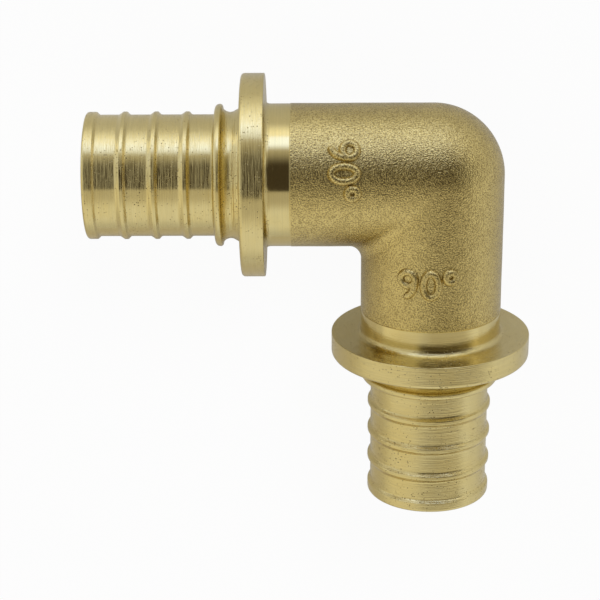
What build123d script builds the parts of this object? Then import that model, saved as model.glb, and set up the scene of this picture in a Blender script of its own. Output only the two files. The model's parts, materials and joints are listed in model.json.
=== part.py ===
from build123d import *
from math import acos, asin, atan2, degrees, hypot, radians, sin, sqrt, tan
import os

# A 90 degree brass elbow for 20 x 2.8 mm PE-X pipe, joined with sliding sleeves. The pipe is widened,
# pushed over the ribs of a leg, and clamped there by a sleeve that is pressed up to the collar.
# It is one forging, turned on both legs and drilled through, and it lies here as it comes to rest:
# on the corner of its body and the near edges of its two collars, with both legs rising to their tips.
# Sizes are in millimetres. Along means outward from the crossing of the two leg axes.

# Driving dimensions
leg_length = 48.5

cast_diameter = 20.1
crotch_width = 1.0
turned_diameter = 20.0
turned_start = 20.0

collar_diameter = 28.5
collar_near = 23.55
collar_far = 26.85
collar_far_chamfer = 0.3
collar_root_chamfer = 0.4

groove_along = 28.5
groove_diameter = 17.5
groove_floor_width = 0.6
groove_rim_diameter = 19.4

bead_diameter = 19.95
bead_near = 29.5
bead_far = 30.45
bead_chamfer = 0.2
bead_foot_diameter = 18.9

core_diameter = 17.05
rib_diameter = 17.9
rib_count = 3
rib_first = 34.35
rib_pitch = 4.35
rib_crest_width = 0.5
rib_base_width = 1.25
tip_land_width = 1.4
tip_chamfer = 0.25

bore_diameter = 13.6
drill_point_angle = 118

# How it lies: the rise of each leg that brings the near edges of the collars down to the floor
cast_radius = cast_diameter / 2
collar_radius = collar_diameter / 2
leg_rise = atan2(collar_radius, collar_near) - asin(cast_radius / hypot(collar_radius, collar_near))
lean_angle = acos(sqrt(1 - 2 * sin(leg_rise) ** 2))


def reach(along, radius, cosine):
    """Farthest point of a turned edge, in a direction at this cosine to the axis of its leg."""
    return along * cosine + radius * sqrt(1 - cosine**2)


# Both legs lie in one plane, which leans about the diagonal between them
lean_axis = Axis((0, 0, 0), (-1, 1, 0))
toward_tip = [Vector(*way).rotate(lean_axis, degrees(lean_angle)) for way in ((-1, 0, 0), (0, -1, 0))]
off_plane = Vector(0, 0, 1).rotate(lean_axis, degrees(lean_angle))

# The origin is on the floor, under the middle of the space that the elbow takes up
tip_reach = reach(leg_length, rib_diameter / 2 - tip_chamfer, -toward_tip[0].X)
collar_reach = reach(collar_far - collar_far_chamfer, collar_radius, toward_tip[1].X)
corner = Vector((tip_reach - collar_reach) / 2, (tip_reach - collar_reach) / 2, cast_radius)

# A half section of each leg is drawn here, with X along the leg and Y its radius
leg_planes = [Plane(origin=corner, x_dir=way, z_dir=way.cross(off_plane)) for way in toward_tip]


def rib(along):
    """Outline of one rib: foot, crest, crest and foot, each as a distance along and a diameter."""
    foot, crest = rib_base_width / 2, rib_crest_width / 2
    return [
        (along - foot, core_diameter),
        (along - crest, rib_diameter),
        (along + crest, rib_diameter),
        (along + foot, core_diameter),
    ]


def leg_outline():
    """Outside of a leg from the crossing to its tip, as distances along and diameters."""
    outline = [
        (0, 0),
        (0, cast_diameter),
        (turned_start, cast_diameter),
        (turned_start, turned_diameter),
        (collar_near - collar_root_chamfer, turned_diameter),
        (collar_near, turned_diameter + 2 * collar_root_chamfer),
        (collar_near, collar_diameter),
        (collar_far - collar_far_chamfer, collar_diameter),
        (collar_far, collar_diameter - 2 * collar_far_chamfer),
        (collar_far, groove_rim_diameter),
        (groove_along - groove_floor_width / 2, groove_diameter),
        (groove_along + groove_floor_width / 2, groove_diameter),
        (bead_near, bead_foot_diameter),
        (bead_near, bead_diameter - 2 * bead_chamfer),
        (bead_near + bead_chamfer, bead_diameter),
        (bead_far - bead_chamfer, bead_diameter),
        (bead_far, bead_diameter - 2 * bead_chamfer),
        (bead_far, core_diameter),
    ]
    for number in range(rib_count):
        outline += rib(rib_first + number * rib_pitch)
    land_start = leg_length - tip_land_width
    outline += [
        (land_start - (rib_base_width - rib_crest_width) / 2, core_diameter),
        (land_start, rib_diameter),
        (leg_length - tip_chamfer, rib_diameter),
        (leg_length, rib_diameter - 2 * tip_chamfer),
        (leg_length, 0),
    ]
    return outline


def bore_outline():
    """Waterway of a leg, drilled to full width as far as the crossing, where the drill's point goes on."""
    point_length = bore_diameter / 2 / tan(radians(drill_point_angle / 2))
    return [
        (leg_length, 0),
        (leg_length, bore_diameter),
        (0, bore_diameter),
        (-point_length, 0),
    ]


def section(outline):
    """Points of a half section from distances along and diameters."""
    return [(along, diameter / 2) for along, diameter in outline]


# The crotch of the forging is blunt. The web across it reaches the same distance along both legs at the
# inside corner, and it fades out over the top and the bottom of the bend, where the legs run into each
# other. Its surface is curved one way only: an ellipse in the plane that halves the bend.
halving_plane = Plane(origin=corner, x_dir=toward_tip[0] + toward_tip[1], z_dir=toward_tip[1] - toward_tip[0])
bend_plane = Plane(origin=corner, x_dir=toward_tip[0], z_dir=off_plane)

with BuildPart() as crotch_web:
    with BuildSketch(halving_plane):
        Ellipse((cast_diameter + crotch_width) / sqrt(2), cast_radius)
    extrude(amount=crotch_width, both=True)
    with BuildSketch(bend_plane.offset(-cast_radius)):
        with BuildLine():
            Polyline(
                (0, 0),
                (2 * (cast_radius + crotch_width), 2 * cast_radius),
                (2 * cast_radius, 2 * (cast_radius + crotch_width)),
                close=True,
            )
        make_face()
    extrude(amount=cast_diameter, mode=Mode.INTERSECT)

with BuildPart() as elbow:
    for leg in leg_planes:
        with BuildSketch(leg):
            with BuildLine():
                Polyline(*section(leg_outline()), close=True)
            make_face()
        revolve(axis=Axis(leg.origin, leg.x_dir))

    with Locations(corner):
        Sphere(cast_radius)

    add(crotch_web.part)

    for leg in leg_planes:
        with BuildSketch(leg):
            with BuildLine():
                Polyline(*section(bore_outline()), close=True)
            make_face()
        revolve(axis=Axis(leg.origin, leg.x_dir), mode=Mode.SUBTRACT)

elbow.part.label = "elbow"

os.makedirs("parts", exist_ok=True)
export_step(elbow.part, "parts/elbow.step")
print("rise of each leg", round(degrees(leg_rise), 2), "lean", round(degrees(lean_angle), 2))
print("corner", corner, "box", elbow.part.bounding_box())
print("volume", round(elbow.part.volume), "centre", elbow.part.center())
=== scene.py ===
import json
import bpy
import bmesh
import numpy as np
from mathutils import Matrix, Vector


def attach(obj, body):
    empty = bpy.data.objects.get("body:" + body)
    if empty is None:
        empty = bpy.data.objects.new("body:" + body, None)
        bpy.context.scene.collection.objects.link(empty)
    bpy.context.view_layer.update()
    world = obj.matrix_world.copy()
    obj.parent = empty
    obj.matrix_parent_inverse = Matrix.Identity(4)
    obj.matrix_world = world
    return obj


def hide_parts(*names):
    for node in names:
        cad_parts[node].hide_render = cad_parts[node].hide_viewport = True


# The finished look of a brass press elbow: shot-blasted where it was forged, turned bright on its two legs.
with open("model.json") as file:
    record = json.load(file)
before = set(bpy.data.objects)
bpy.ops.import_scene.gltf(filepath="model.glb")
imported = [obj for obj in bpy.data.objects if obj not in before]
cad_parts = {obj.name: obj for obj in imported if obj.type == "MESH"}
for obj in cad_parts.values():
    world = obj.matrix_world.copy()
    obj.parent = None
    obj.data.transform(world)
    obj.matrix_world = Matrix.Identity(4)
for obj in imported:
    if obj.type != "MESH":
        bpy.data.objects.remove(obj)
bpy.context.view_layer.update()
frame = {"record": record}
mm = 0.001
bpy.context.scene.view_settings.view_transform = "Standard"

# the frame of the two legs
# The stated pins give the axis of each leg. The legs cross at the point that is nearest to both axis lines
pins = {m["name"]: m for m in frame["record"]["mounts"] if m["kind"] == "pin"}
pinPlaces = np.array([pins["spigot_left"]["pos_m"], pins["spigot_front"]["pos_m"]])
legWays = np.array([pins["spigot_left"]["axis"], pins["spigot_front"]["axis"]])
legWays /= np.linalg.norm(legWays, axis=1)[:, None]
squareTo = [np.eye(3) - np.outer(way, way) for way in legWays]      # takes away what runs along a leg
crossing = np.linalg.solve(sum(squareTo), sum(part @ place for part, place in zip(squareTo, pinPlaces)))
offPlane = np.cross(legWays[0], legWays[1])
offPlane /= np.linalg.norm(offPlane)
# rows are the directions x, y and z of the legs' own frame: leg one runs to -x, leg two to -y
legAxes = np.array([-legWays[0], -legWays[1], offPlane])


def toRoom(points):
    # from the legs' own frame, in millimetres, to the room, in metres: the crossing plus each coordinate
    # times its direction
    return crossing + mm * (points @ legAxes)


# camera
cameraSetup = {
    "place": (-15.917, 78.516, 257.513),       # in the legs' frame, mm
    "looksAlong": (-0.01068, -0.35338, -0.93542),
    "right": (0.99994, -0.00645, -0.00898),
    "lens": 114.74,
    "sensor": 36,
    "shift": (0.0008, -0.0004),
    "clip": (0.01, 50),                        # m
}


def placeCamera(s):
    look = np.array(s["looksAlong"]) @ legAxes
    look /= np.linalg.norm(look)
    right = np.array(s["right"]) @ legAxes
    right -= look * (right @ look)
    right /= np.linalg.norm(right)
    up = np.cross(right, look)
    data = bpy.data.cameras.new("camera")
    data.lens, data.sensor_width = s["lens"], s["sensor"]
    data.shift_x, data.shift_y = s["shift"]
    data.clip_start, data.clip_end = s["clip"]
    eye = bpy.data.objects.new("camera", data)
    matrix = np.eye(4)
    matrix[:3, 0], matrix[:3, 1], matrix[:3, 2] = right, up, -look
    matrix[:3, 3] = toRoom(np.array(s["place"]))
    eye.matrix_world = Matrix(matrix.tolist())
    bpy.context.scene.collection.objects.link(eye)
    bpy.context.scene.camera = eye
    return look, right, up


viewLook, viewRight, viewUp = placeCamera(cameraSetup)
print("camera placed")


# shader wiring
# a socket that can be used in sums: each operator adds the Math node that does it
class Wire:
    def __init__(self, tree, socket):
        self.tree, self.socket = tree, socket

    def math(self, operation, other=None, swap=False):
        values = [other, self] if swap else [self, other]
        inputs = {i: v for i, v in enumerate(values) if v is not None}
        return self.tree.add("ShaderNodeMath", {"operation": operation}, inputs)

    def __add__(self, o): return self.math("ADD", o)
    def __radd__(self, o): return self.math("ADD", o)
    def __sub__(self, o): return self.math("SUBTRACT", o)
    def __rsub__(self, o): return self.math("SUBTRACT", o, swap=True)
    def __mul__(self, o): return self.math("MULTIPLY", o)
    def __rmul__(self, o): return self.math("MULTIPLY", o)
    def __pow__(self, o): return self.math("POWER", o)
    def __gt__(self, o): return self.math("GREATER_THAN", o)
    def __lt__(self, o): return self.math("LESS_THAN", o)
    def most(self, o): return self.math("MAXIMUM", o)
    def least(self, o): return self.math("MINIMUM", o)

    def output(self, name):
        # another output of the same node
        return Wire(self.tree, self.socket.node.outputs[name])

    def ramp(self, low, high, fromValue=0.0, toValue=1.0):
        # a smooth step of this value from low to high
        return self.tree.add("ShaderNodeMapRange", {"interpolation_type": "SMOOTHSTEP"},
                             {"Value": self, "From Min": low, "From Max": high,
                              "To Min": fromValue, "To Max": toValue}, "Result")

    def between(self, comesIn, goesOut, before=0.0):
        # 1 between two soft edges, before it on the low side and 0 past it
        return self.ramp(*comesIn, before, 1.0) * self.ramp(*goesOut, 1.0, 0.0)


# the nodes of one material or world. add makes any node: its settings first, then its sockets
class Tree:
    def __init__(self, owner):
        owner.use_nodes = True
        self.nodes, self.links = owner.node_tree.nodes, owner.node_tree.links
        self.nodes.clear()

    def add(self, kind, settings=None, inputs=None, output=0):
        node = self.nodes.new(kind)
        for name, value in (settings or {}).items():
            setattr(node, name, value)
        for name, value in (inputs or {}).items():
            if isinstance(value, Wire):
                self.links.new(value.socket, node.inputs[name])
            else:
                node.inputs[name].default_value = value
        return Wire(self, node.outputs[output]) if len(node.outputs) else None

    def mixColour(self, factor, first, second, blend="MIX"):
        # sockets 0, 6 and 7 of a Mix node are its factor and its two colours, and output 2 is the colour
        colours = {6: first, 7: second}
        inputs = {slot: value if isinstance(value, Wire) else (*value, 1.0) for slot, value in colours.items()}
        return self.add("ShaderNodeMix", {"data_type": "RGBA", "blend_type": blend}, {0: factor, **inputs}, 2)

    def dot(self, vector, way):
        return self.add("ShaderNodeVectorMath", {"operation": "DOT_PRODUCT"},
                        {0: vector, 1: tuple(float(v) for v in way)}, "Value")

    def combine(self, x, y, z):
        return self.add("ShaderNodeCombineXYZ", None, {"X": x, "Y": y, "Z": z})

    def noise(self, vector, scale, detail=2.0, roughness=0.5):
        return self.add("ShaderNodeTexNoise", {"noise_dimensions": "3D"},
                        {"Vector": vector, "Scale": scale, "Detail": detail, "Roughness": roughness}, "Fac")


def legCoordinates(tree):
    # x, y and z in the legs' own frame, in millimetres, one by one and as a vector
    place = tree.add("ShaderNodeTexCoord", None, None, "Object")
    local = [tree.dot(place, axis) * (1 / mm) - float(crossing @ axis) / mm for axis in legAxes]
    return local, tree.combine(*local)


def finishMaterial(tree, tone, rough, relief, depth):
    bump = tree.add("ShaderNodeBump", None, {"Height": relief, "Strength": 1.0, "Distance": depth * mm})
    surface = tree.add("ShaderNodeBsdfPrincipled", None,
                       {"Base Color": tone, "Metallic": 1.0, "Roughness": rough, "Normal": bump})
    tree.add("ShaderNodeOutputMaterial", None, {"Surface": surface})


# turned brass
turnedLook = {
    "tone": (0.725, 0.61, 0.285),
    "warmTone": (0.72, 0.58, 0.235),
    "warmShare": 0.55,         # of the warm tone in the broad clouds
    "cloudsPerMm": 0.22,
    "roughness": 0.08,         # and what the lines, clouds, pits and coarser cut add to it
    "roughLines": 0.06,
    "roughClouds": 0.03,
    "roughPits": 0.3,
    "roughCut": 0.02,
    "legStep": 61.0,           # mm, so that each leg has its own lines and pits
    # turning lines
    "lineDepth": 0.060,        # mm
    "fineLines": (11.5, 0.16),     # changes in a millimetre: along the cut, and round the leg
    "coarseLines": (6.2, 0.08),
    "fineShare": 0.78,
    "faceCut": 0.8,            # how close the lines follow each other across a flat face
    "lineTone": 0.75,          # of the tone, for the dark of a line, and the share of that dark
    "lineShade": 0.30,
    "bandEnd": (22.5, 23.1),       # of the finer-cut band beside the forging, mm along the leg
    "bandShare": 0.16,         # of the line depth on that band
    # pits and inclusions
    "pitCells": (4.0, 3.6),        # in a millimetre: along the leg, and across it
    "crowdsPerMm": 0.21,
    "pitLots": (0.73, 0.52),       # a cell has a pit when its lot is above this: where pits are few, and many
    "bandLot": 0.3,            # added to it on the finer-cut band
    "pitSize": 0.9,
    "pitEdge": (-0.06, 0.05),
    "pitDepth": 0.25,          # of the line depth
    "pitTone": (0.15, 0.10, 0.04),
    "pitShade": 0.55,
}


def turnedBrass(b):
    material = bpy.data.materials.new("turnedBrass")
    tree = Tree(material)
    (x, y, off), local = legCoordinates(tree)
    # along: millimetres out from the crossing on either leg. side and off: across the leg
    along = (x * -1.0).most(y * -1.0)
    side = (x * -1.0).least(y * -1.0)
    radius = (side * side + off * off) ** 0.5
    shifted = along + (x < y) * b["legStep"]

    # turning lines: noise drawn out round the leg. The cutter's way is the distance along the leg plus a
    # share of the radius, so that the lines are rings on the flat faces too
    cut = shifted + radius * b["faceCut"]
    fineCut, fineRound = b["fineLines"]
    fine = tree.noise(tree.combine(cut * fineCut, side * fineRound, off * fineRound), 1.0, 2.0, 0.6)
    coarseCut, coarseRound = b["coarseLines"]
    coarse = tree.noise(tree.combine(cut * coarseCut, side * coarseRound, off * coarseRound), 1.0, 1.0)
    lines = fine * b["fineShare"] + coarse * (1 - b["fineShare"])
    share = along.ramp(*b["bandEnd"], b["bandShare"], 1.0)

    # pits and inclusions: some cells of a honeycomb have one, each of its own size, and fewer on the band
    cellsAlong, cellsAcross = b["pitCells"]
    cells = tree.combine(shifted * cellsAlong, side * cellsAcross, off * cellsAcross)
    toPit = tree.add("ShaderNodeTexVoronoi", {"feature": "F1", "voronoi_dimensions": "3D"},
                     {"Vector": cells, "Scale": 1.0}, "Distance")
    lot = tree.dot(toPit.output("Color"), (1, 0, 0))
    needed = tree.noise(local, b["crowdsPerMm"], 2.0).ramp(0.36, 0.64, *b["pitLots"])
    needed = needed + (1.0 - share) * b["bandLot"]
    size = (lot - needed).most(0.0) * b["pitSize"]
    pits = (size - toPit).ramp(*b["pitEdge"]) * (size > 0.01)

    cloud = tree.noise(local, b["cloudsPerMm"], 3.0, 0.55).ramp(0.35, 0.7)
    tone = tree.mixColour(cloud * b["warmShare"], b["tone"], b["warmTone"])
    tone = tree.mixColour(lines.ramp(0.35, 0.65) * b["lineShade"], tone, [b["lineTone"] * v for v in b["tone"]])
    tone = tree.mixColour(pits * b["pitShade"], tone, b["pitTone"])
    rough = lines * b["roughLines"] + cloud * b["roughClouds"] + pits * b["roughPits"]
    rough = rough + share * b["roughCut"] + b["roughness"]
    finishMaterial(tree, tone, rough, lines * share - pits * b["pitDepth"], b["lineDepth"])
    return material


# forged and shot-blasted brass
castLook = {
    "tone": (0.745, 0.60, 0.237),
    "darkTone": (0.48, 0.37, 0.142),
    "roughness": 0.08,         # and what the dimples add to it
    "roughDimples": 0.12,
    "dimplesPerMm": 5.2,
    "dimpleDepth": 0.100,      # mm
    "paintedDimpleShade": 0.35,       # share of the dark tone painted into their bottoms as shade
    "stainsPerMm": 0.55,
    "stainShade": 0.30,
    "specksPerMm": 5.6,
    "speckTone": (0.24, 0.175, 0.06),
    "speckShade": 0.68,
}


def castBrass(b):
    material = bpy.data.materials.new("castBrass")
    tree = Tree(material)
    local = legCoordinates(tree)[1]
    # dimples of a fifth of a millimetre, with painted shade in their bottoms, dark specks between and broad
    # stains
    dimples = tree.noise(local, b["dimplesPerMm"], 2.0, 0.55)
    stains = tree.noise(local, b["stainsPerMm"], 2.0)
    specks = tree.noise(local, b["specksPerMm"], 1.0, 0.5)
    tone = tree.mixColour(stains.ramp(0.35, 0.7) * b["stainShade"], b["tone"], b["darkTone"])
    # painted shade: the dark tone where the dimples' bump is low, in their bottoms
    tone = tree.mixColour(dimples.ramp(0.40, 0.62, b["paintedDimpleShade"], 0.0), tone, b["darkTone"])
    tone = tree.mixColour(specks.ramp(0.38, 0.53, b["speckShade"], 0.0), tone, b["speckTone"])
    finishMaterial(tree, tone, dimples * b["roughDimples"] + b["roughness"], dimples, b["dimpleDepth"])
    return material


# the elbow's skin
boreZone, turnedZone, castZone = 0, 1, 2
elbowSizes = {
    "columns": 176,            # around a leg
    "roundSteps": 5,           # points in each small rounding
    "castRadius": 10.05,
    "castStart": 19.90,        # of the forged skin, mm along the leg
    "castRows": 30,
    "creaseRadius": 2.3,
    "cornerRows": 26,
    "boreRadius": 6.8,
    "boreEnd": 48.2,
    "boreRows": 11,
    "boreBend": 1.15,          # where the bore's rows are square to it again, in bore radii from the crossing
    "drillTip": 4.086,         # length of the drill's cone
    "unevenness": 0.010,       # height of the long waves in the forging
    "trueFrom": 19.5,          # the skin is true from here out along the leg
    "trueFade": 4.0,
}
# corners of the turned outline as (along, radius, rounding), from the tip to the forged body. A rib's own
# corners have their place along the leg from its centre
ribCentres = (43.05, 38.7, 34.35)
ribShape = ((0.86, 8.52, 0.45), (0.24, 8.95, 0.19), (-0.22, 8.95, 0.19), (-0.62, 8.52, 0.42))
turnedOutline = [
    (48.25, 6.8, 0.0), (48.5, 7.05, 0.0), (48.5, 8.92, 0.42),          # mouth and tip
    (47.1, 8.92, 0.19), (46.71, 8.52, 0.19),                           # end of the land at the tip
    *[(centre + step, radius, rounding) for centre in ribCentres for step, radius, rounding in ribShape],
    (30.56, 8.52, 0.25), (30.47, 9.97, 0.62), (29.51, 9.97, 0.31),     # stop bead
    (29.41, 9.42, 0.0), (29.19, 9.03, 1.0), (28.23, 8.77, 1.1),        # groove
    (26.82, 9.57, 0.12), (26.85, 14.25, 0.5), (23.55, 14.25, 0.12),    # collar
    (23.55, 10.0, 0.7), (20.05, 10.0, 0.0), (19.93, 10.05, 0.0),       # plain band, and up to the forged skin
]


def roundedOutline(corners, steps, firstPoint, lastPoint, support=0.03):
    # each corner becomes an arc that touches both of its sides. A point of it is the arc's start, plus the
    # rounding times the sine of the turn so far along the way in, plus the rounding times one less the
    # cosine square to that way. One more point stands just before each arc and just after it
    places = np.array([c[:2] for c in corners], float)
    rounding = np.array([c[2] for c in corners], float)
    whole = np.vstack([firstPoint, places, lastPoint])
    ways = np.diff(whole, axis=0)
    ways /= np.linalg.norm(ways, axis=1)[:, None]
    wayIn, wayOut = ways[:-1], ways[1:]
    cross = wayIn[:, 0] * wayOut[:, 1] - wayIn[:, 1] * wayOut[:, 0]
    turn = np.arctan2(cross, (wayIn * wayOut).sum(1))
    square = np.sign(turn)[:, None] * np.stack([-wayIn[:, 1], wayIn[:, 0]], 1)
    start = places - wayIn * (rounding * np.tan(np.abs(turn) / 2))[:, None]
    s = np.linspace(0, 1, steps)[None, :, None] * np.abs(turn)[:, None, None]
    arcs = start[:, None] + rounding[:, None, None] * (np.sin(s) * wayIn[:, None]
                                                       + (1 - np.cos(s)) * square[:, None])
    before = start - wayIn * support
    after = arcs[:, -1] + wayOut * support
    return np.concatenate([before[:, None], arcs, after[:, None]], axis=1).reshape(-1, 2)


def legRows(along, radius, turn, second):
    # a row is a circle round its leg: minus the distance along it, minus the radius times the cosine of the
    # turn, and the radius times its sine. Leg two has x and y changed over
    across, off = -radius * np.cos(turn), radius * np.sin(turn)
    lengthwise = np.broadcast_to(-along, off.shape)
    return np.stack([across, lengthwise, off] if second else [lengthwise, across, off], -1)


def elbowGrid(z):
    turn = np.arange(z["columns"]) * (2 * np.pi / z["columns"])
    c, s = np.cos(turn), np.sin(turn)
    level = 0 * turn                    # makes a plain number into a whole row
    inner = np.clip(c, 0, None)         # toward the inside of the bend
    outer = np.clip(-c, 0, None)
    r, crease, bore = z["castRadius"], z["creaseRadius"], z["boreRadius"]

    # bore: from the mitre of the two bores to the mouth. Beyond the crossing it narrows to the drill's cone
    beyond = bore * outer / (1 + bore / z["drillTip"] * outer)
    mitre = bore * inner - beyond
    bend = bore * inner * z["boreBend"]
    boreStart = [(mitre, bore * (1 - beyond / z["drillTip"])),
                 (mitre * 0.5 + bend * 0.5, bore * (1 - 0.5 * beyond / z["drillTip"])),
                 (bend, bore + level)]
    boreRows = [(bend + (z["boreEnd"] - bend) * f, bore + level)
                for f in np.linspace(0, 1, z["boreRows"] + 1)[1:]]

    # turned outline: it comes out of the bore and goes on into the forged tube
    outline = roundedOutline(turnedOutline, z["roundSteps"], (turnedOutline[0][0] - 1, bore),
                             (turnedOutline[-1][0] - 1, r))
    outlineRows = [(a + level, q + level) for a, q in outline]

    # forged tube: from the turned zone to the crease on the inside of the bend, and to the crossing outside
    castEnd = (r + crease) * inner
    castRows = [(z["castStart"] + (castEnd - z["castStart"]) * f, r + level)
                for f in np.linspace(0, 1, z["castRows"] + 1)[1:]]

    rows = boreStart + boreRows + outlineRows + castRows
    along = np.array([row[0] for row in rows])
    radius = np.array([row[1] for row in rows])
    zones = np.repeat([boreZone, turnedZone, castZone],
                      [len(boreStart) + len(boreRows), len(outlineRows) - 1, len(castRows) + 1])

    # corner, inside the bend: a ball of the crease's radius rolls along both tubes. A row of the crease is
    # the ball's centre plus its radius times a direction, which turns evenly from one tube to the other:
    # sines of the two shares of the whole angle weigh the two end directions. The corner's other side is
    # a lune of the ball that closes the bend: the radius times the cosine of the row's turn, shared between
    # x and y by the sine and cosine of an angle from 0 to 90 degrees, and the radius times the turn's sine
    w = np.linspace(0, 1, z["cornerRows"] + 2)[1:-1, None]
    centre = np.stack([-(r + crease) * c, -(r + crease) * c, (r + crease) * s], -1)
    first = np.stack([0 * c, c, -s], -1)
    second = np.stack([c, 0 * c, -s], -1)
    wide = np.arccos(np.clip(s * s, -1, 1))
    none = wide < 1e-6
    sine = np.where(none, 1, np.sin(wide))
    k1 = np.where(none, 1 - w, np.sin((1 - w) * wide) / sine)
    k2 = np.where(none, w, np.sin(w * wide) / sine)
    rolled = centre + crease * (k1[..., None] * first + k2[..., None] * second)
    lune = r * np.stack(np.broadcast_arrays(-c * np.sin(w * np.pi / 2), -c * np.cos(w * np.pi / 2),
                                            s + 0 * w), -1)
    corner = np.where((c > 0)[None, :, None], rolled, lune)
    grid = np.concatenate([legRows(along, radius, turn, False), corner,
                           legRows(along, radius, turn, True)[::-1]], axis=0)
    return grid, np.concatenate([zones, np.full(z["cornerRows"], castZone), zones[::-1]])


def uneven(grid, zone, z):
    # forging is never quite true: two long waves, each made of sines of the place, push the blasted skin in
    # and out from its leg's axis by hundredths, and fade toward the turned zone
    x, y, off = grid[..., 0], grid[..., 1], grid[..., 2]
    wave = (np.sin(0.62 * x + 0.35 * y + 1.3) * np.cos(0.48 * off - 0.3 * x)
            + 0.6 * np.sin(0.9 * y - 0.7 * off + 0.5 * x + 2.0))
    fade = np.clip((z["trueFrom"] - np.maximum(-x, -y)) / z["trueFade"], 0, 1)
    onLegOne = -x > -y
    axisPoint = np.stack([np.where(onLegOne, np.minimum(x, 0), 0),
                          np.where(onLegOne, 0, np.minimum(y, 0)), 0 * x], -1)
    out = grid - axisPoint
    out /= np.maximum(np.linalg.norm(out, axis=-1, keepdims=True), 1e-9)
    isCast = (zone == castZone)[:, None]
    return grid + np.where(isCast, z["unevenness"] * wave * fade, 0)[..., None] * out


def gridMesh(name, points, closed):
    # quads between neighbouring rows and columns of a grid of points. Each row is joined round, and the
    # last row is joined to the first where the grid is closed
    rows, columns = points.shape[:2]
    i = np.arange(rows if closed else rows - 1)[:, None]
    j = np.arange(columns)[None, :]
    i2, j2 = (i + 1) % rows, (j + 1) % columns
    quads = np.stack(np.broadcast_arrays(i * columns + j, i2 * columns + j, i2 * columns + j2,
                                         i * columns + j2), -1).reshape(-1, 4)
    mesh = bpy.data.meshes.new(name)
    mesh.from_pydata(toRoom(points.reshape(-1, 3)).tolist(), [], quads.tolist())
    return mesh


def tidyMesh(mesh, apart=1e-6, sharpAngle=0.6):
    # merges doubles, closes the poles and turns the faces outward. apart is in metres, sharpAngle in radians
    work = bmesh.new()
    work.from_mesh(mesh)
    bmesh.ops.remove_doubles(work, verts=work.verts, dist=apart)
    bmesh.ops.dissolve_degenerate(work, edges=work.edges, dist=apart * 0.1)
    bmesh.ops.recalc_face_normals(work, faces=work.faces)
    work.to_mesh(mesh)
    work.free()
    mesh.shade_smooth()
    mesh.set_sharp_from_angle(angle=sharpAngle)
    mesh.update()


def makeElbow(z):
    grid, zone = elbowGrid(z)
    mesh = gridMesh("elbowSkin", uneven(grid, zone, z), True)
    isCast = np.repeat(zone == castZone, z["columns"])
    mesh.polygons.foreach_set("material_index", isCast.astype(np.int32))
    for material in (turnedBrass(turnedLook), castBrass(castLook)):
        mesh.materials.append(material)
    tidyMesh(mesh)
    piece = bpy.data.objects.new("elbowSkin", mesh)
    bpy.context.scene.collection.objects.link(piece)
    print("elbow skin", len(mesh.polygons), "faces")
    return piece


elbow = makeElbow(elbowSizes)
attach(elbow, "root")
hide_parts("elbow")

# raised bend angle
# plain numerals that give the angle of the bend, cut in the forging die with a round cutter
numeralSizes = {
    "height": 3.5,             # of a digit's middle line, mm
    "width": 2.1,
    "advance": 3.25,
    "ovalPoints": 72,
    "loopHeight": 0.56,        # of the nine's loop, in digit heights
    "tailPoints": 30,
    "tailTurn": 0.56,          # how far the nine's tail goes round its ellipse, in half turns
    "tailWidth": (-0.18, 0.68),    # middle and half width of that ellipse, in digit widths
    "tailHeight": 0.72,        # its half height, in digit heights
    "ringSize": 0.40,          # of the degree ring, in digit heights, and how high it starts
    "ringFoot": 0.62,
    "ringAdvance": 1.85,       # in advances
    "strokeWidth": 1.15,       # at the foot
    "relief": 0.55,
    "sunk": 0.25,              # of a stroke's underside
    "bedding": 0.02,           # of the whole stroke, so that its foot is under the skin
    "overPoints": 15,          # across a stroke, over it and under it
    "underPoints": 3,
    # along the leg, turn of the first digit from the normal of the legs' plane, and the way it reads
    "legOne": (12.6, 42.0, -1),
    "legTwo": (13.0, -28.0, 1),
}


def ovalPath(t, w, h):
    # an ellipse that stands on its foot: half the width times the sine, and half the height times one less
    # the cosine
    return np.stack([w / 2 * np.sin(t), h / 2 - h / 2 * np.cos(t)], -1)


def digitPaths(z):
    w, h = z["width"], z["height"]
    t = np.linspace(0, 2 * np.pi, z["ovalPoints"] + 1)[:-1]
    zero = ovalPath(t, w, h)
    ring = ovalPath(t, z["ringSize"] * h, z["ringSize"] * h) + [0, z["ringFoot"] * h]
    loop = ovalPath(t, w, z["loopHeight"] * h) + [0, (1 - z["loopHeight"]) * h]
    # the nine's tail is just over a quarter of a wider ellipse, from the loop's right side down to the foot:
    # its middle plus its half width times the cosine, and its half height times one less the sine
    q = np.linspace(0, z["tailTurn"] * np.pi, z["tailPoints"])
    middle, halfWidth = z["tailWidth"]
    tail = np.stack([middle * w + halfWidth * w * np.cos(q), z["tailHeight"] * h * (1 - np.sin(q))], -1)
    return [(loop, True, 0.0), (tail, False, 0.0), (zero, True, z["advance"]),
            (ring, True, z["ringAdvance"] * z["advance"])]


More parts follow.
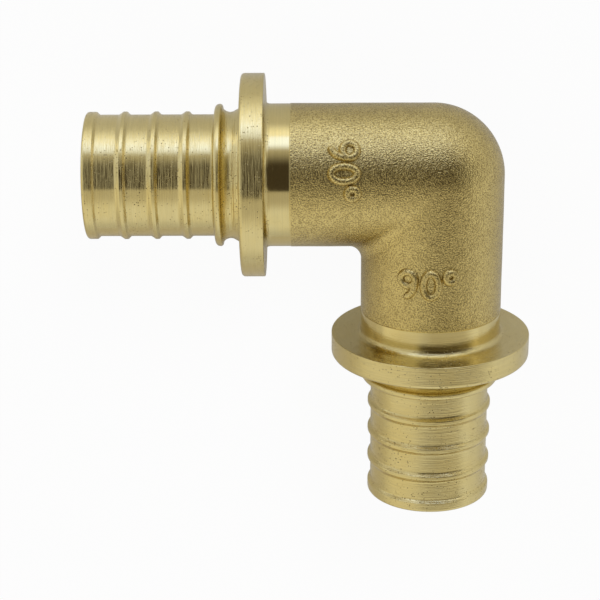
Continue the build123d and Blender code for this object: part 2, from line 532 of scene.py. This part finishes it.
def strokeGrid(path, closed, z):
    # a rounded bar across the path: its height is the relief times the 0.8th power of one less the 2.5th
    # power of the distance from the middle, in half widths. It is closed under the skin, and an open end
    # narrows in a round
    if closed:
        step = np.roll(path, -1, 0) - np.roll(path, 1, 0)
        ends = np.ones(len(path))
    else:
        step = np.gradient(path, axis=0)
        run = np.concatenate([[0], np.cumsum(np.linalg.norm(np.diff(path, axis=0), axis=1))])
        far = np.minimum(run, run[-1] - run) / (z["strokeWidth"] / 2)
        ends = np.sqrt(np.clip(1 - (1 - np.clip(far, 0, 1)) ** 2, 0, 1))
    square = np.stack([-step[:, 1], step[:, 0]], -1)
    square /= np.linalg.norm(square, axis=1)[:, None]
    over = np.sin(np.linspace(-0.5, 0.5, z["overPoints"]) * np.pi)
    under = np.linspace(1, -1, z["underPoints"] + 2)[1:-1]
    v = np.concatenate([over, under])
    lift = np.concatenate([z["relief"] * (1 - np.abs(over) ** 2.5) ** 0.8, 0 * under - z["sunk"]])[None, :]
    flat = path[:, None] + square[:, None] * (v[None, :, None] * (z["strokeWidth"] / 2) * ends[:, None, None])
    return flat, lift * np.where(lift > 0, ends[:, None], 1) - z["bedding"]


def wrapOnLeg(flat, lift, second, along, startTurn, way, z):
    # x of the writing becomes a turn round the leg, x over the forged radius, and y runs toward the
    # crossing. Across the leg a point is its radius times the sine and the cosine of its turn
    radius = elbowSizes["castRadius"] + lift
    turn = np.radians(startTurn) + way * flat[..., 0] / elbowSizes["castRadius"]
    far = -(along + z["height"] / 2 - flat[..., 1])
    across, off = radius * np.sin(turn), radius * np.cos(turn)
    return np.stack([across, far, off] if second else [far, across, off], -1)


def makeNumerals(z, material):
    pieces = []
    for name, second in (("legOne", False), ("legTwo", True)):
        along, startTurn, way = z[name]
        for number, (path, closed, shift) in enumerate(digitPaths(z)):
            flat, lift = strokeGrid(path + [shift + z["width"] / 2, 0], closed, z)
            points = wrapOnLeg(flat, lift, second, along, startTurn, way, z)
            mesh = gridMesh(f"angleMark_{name}_{number}", points, closed)
            mesh.materials.append(material)
            tidyMesh(mesh)
            piece = bpy.data.objects.new(mesh.name, mesh)
            bpy.context.scene.collection.objects.link(piece)
            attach(piece, "root")
            pieces.append(piece)
    print("bend angle raised on both legs,", len(pieces), "strokes")


makeNumerals(numeralSizes, bpy.data.materials["castBrass"])

# floor
floorLook = {
    "half": 3.0,               # m
    "lowered": 0.00005,        # m, so that the elbow doesn't share its faces with the floor
    "tone": (0.68, 0.68, 0.68),
    "whiteSeen": 0.95,         # share of plain white in what the camera sees of the floor
    # and in what the metal shows of it: little near the elbow, where the shadow stays, and all of it from
    # the far side on, with a part of it to the right. Places are in metres across the floor
    "whiteNear": 0.10,
    "whiteFar": 1.0,
    "farFrom": (0.055, 0.09),
    "whiteRight": 0.40,
    "rightFrom": (0.03, 0.09),
    "paintedFarLight": 0.30,           # painted light: the floor glows more than plain white far behind, only in what the metal mirrors
    "glowFrom": (0.07, 0.15),
    "paintedShadeLeft": (0.57, 0.53, 0.46),    # painted shade: a dimmer and warmer floor that only the metal's left sides mirror
    "leftOf": (-0.02, 0.01),
    "nearerThan": (0.0, 0.02),
}


def levelColour(tree, level, colour=(1, 1, 1), strength=1.0):
    # a level made into a colour: the level times each part of a colour times a strength
    return tree.combine(*[level * float(c * strength) for c in colour])


def makeFloor(s):
    mesh = bpy.data.meshes.new("floor")
    half, low = s["half"], -s["lowered"]
    mesh.from_pydata([(-half, -half, low), (half, -half, low), (half, half, low), (-half, half, low)],
                     [], [(0, 1, 2, 3)])
    material = bpy.data.materials.new("paleFloor")
    tree = Tree(material)
    seen = tree.add("ShaderNodeLightPath", None, None, "Is Camera Ray")
    mirrored = seen.output("Is Glossy Ray").most(seen.output("Is Transmission Ray"))
    place = tree.add("ShaderNodeTexCoord", None, None, "Object")
    x, y = tree.dot(place, (1, 0, 0)), tree.dot(place, (0, 1, 0))
    beyond = y.ramp(*s["farFrom"], s["whiteNear"], s["whiteFar"])
    beyond = beyond.most(x.ramp(*s["rightFrom"], 0.0, s["whiteRight"]))
    share = (seen * s["whiteSeen"]).most(mirrored * beyond)
    # painted shade in the floor left of the elbow and near it, seen only by mirrored rays
    left = x.ramp(*s["leftOf"], 1.0, 0.0) * y.ramp(*s["nearerThan"], 1.0, 0.0)
    tone = tree.mixColour(mirrored * left, s["tone"], s["paintedShadeLeft"])
    lit = tree.add("ShaderNodeBsdfDiffuse", None, {"Color": tone})
    # painted light: a glow above plain white on the far floor, seen only by mirrored rays
    glow = y.ramp(*s["glowFrom"], 0.0, s["paintedFarLight"]) * mirrored + 1.0
    white = tree.add("ShaderNodeEmission", None, {"Color": levelColour(tree, glow), "Strength": 1.0})
    both = tree.add("ShaderNodeMixShader", None, {0: share, 1: lit, 2: white})
    tree.add("ShaderNodeOutputMaterial", None, {"Surface": both})
    mesh.materials.append(material)
    floor = bpy.data.objects.new("floor", mesh)
    bpy.context.scene.collection.objects.link(floor)


makeFloor(floorLook)
print("floor laid")

# light
# Angles are in degrees from the way back to the camera: rise is up the view, and across is to its right.
# Each zone of the sky fades in over a first pair of angles and out over a second. With one pair the dusk
# fades in and the glow fades out
skyLook = {
    "level": 0.86,             # of the soft white room
    "lowLevel": 0.72,          # share of it past straight below, and from under the dark side on up
    "lowRise": (-118.0, -92.0),
    "frontLevel": 0.84,
    "frontRise": (-70.0, -40.0),
    "darkLevel": 0.05,         # one dark side, where the camera stands
    "darkColour": (1.25, 1.0, 0.70),
    "darkRise": ((-31.5, -29.5), (10.0, 39.0)),
    "darkAcross": ((-27.0, -14.0), (54.0, 74.0)),
    "boxLevel": 1.14,          # a cool soft box above it
    "boxColour": (0.78, 1.0, 1.85),
    "boxRise": ((34.0, 48.0), (73.0, 93.0)),
    "boxAcross": ((-42.0, -9.0), (24.0, 44.0)),
    "boxLeft": 0.15,           # share of the box that is left beyond its left edge
    "duskColour": (0.73, 0.685, 0.59),     # warmer and dimmer below the dark side, toward the right
    "duskRise": (-68.0, -46.0),
    "duskSlant": 0.35,         # its lower edge falls by this share of the angle across
    "duskAcross": ((-30.0, 4.0), (46.0, 66.0)),
    "glowColour": (1.02, 0.965, 0.83),     # and a little warmer toward the left
    "glowRise": (-36.0, -28.0),
    "glowAcross": (-26.0, -8.0),
}


def makeSky(s):
    world = bpy.data.worlds.new("studio")
    bpy.context.scene.world = world
    tree = Tree(world)
    way = tree.add("ShaderNodeTexCoord", None, None, "Generated")
    rise = tree.dot(way, viewUp).math("ARCTAN2", tree.dot(way, -viewLook)) * (180 / np.pi)
    across = tree.dot(way, viewRight).math("ARCSINE") * (180 / np.pi)
    dark = rise.between(*s["darkRise"]) * across.between(*s["darkAcross"])
    box = rise.between(*s["boxRise"]) * across.between(*s["boxAcross"], s["boxLeft"])
    soft = rise.ramp(*s["lowRise"], s["lowLevel"], 1.0) * rise.ramp(*s["frontRise"], 1.0, s["frontLevel"])
    dusk = (rise + across * s["duskSlant"]).ramp(*s["duskRise"]) * across.between(*s["duskAcross"])
    glow = rise.ramp(*s["glowRise"], 1.0, 0.0) * across.ramp(*s["glowAcross"], 1.0, 0.0)
    tint = tree.mixColour(dusk, tree.mixColour(glow, (1.0, 1.0, 1.0), s["glowColour"]), s["duskColour"])
    room = tree.mixColour(1.0, levelColour(tree, (1.0 - dark) * soft, (1, 1, 1), s["level"]), tint, "MULTIPLY")
    shade = levelColour(tree, dark, s["darkColour"], s["darkLevel"])
    lights = levelColour(tree, box, s["boxColour"], s["boxLevel"])
    sky = tree.mixColour(1.0, tree.mixColour(1.0, room, shade, "ADD"), lights, "ADD")
    sky = tree.add("ShaderNodeBackground", None, {"Color": sky, "Strength": 1.0})
    tree.add("ShaderNodeOutputWorld", None, {"Surface": sky})


lampLook = {
    "strength": 1.7,
    "from": (0.35, 0.78, 0.62),
    "size": 22,                # degrees across
}


def makeLamp(s):
    # a wide sun behind the elbow, for its shadow and the floor alone: the metal doesn't show it
    data = bpy.data.lights.new("softLamp", "SUN")
    data.energy = s["strength"]
    data.angle = np.radians(s["size"])
    lamp = bpy.data.objects.new("softLamp", data)
    lamp.rotation_euler = Vector(s["from"]).to_track_quat("Z", "Y").to_euler()
    lamp.visible_glossy = False
    bpy.context.scene.collection.objects.link(lamp)


makeSky(skyLook)
makeLamp(lampLook)
print("sky and lamp made")
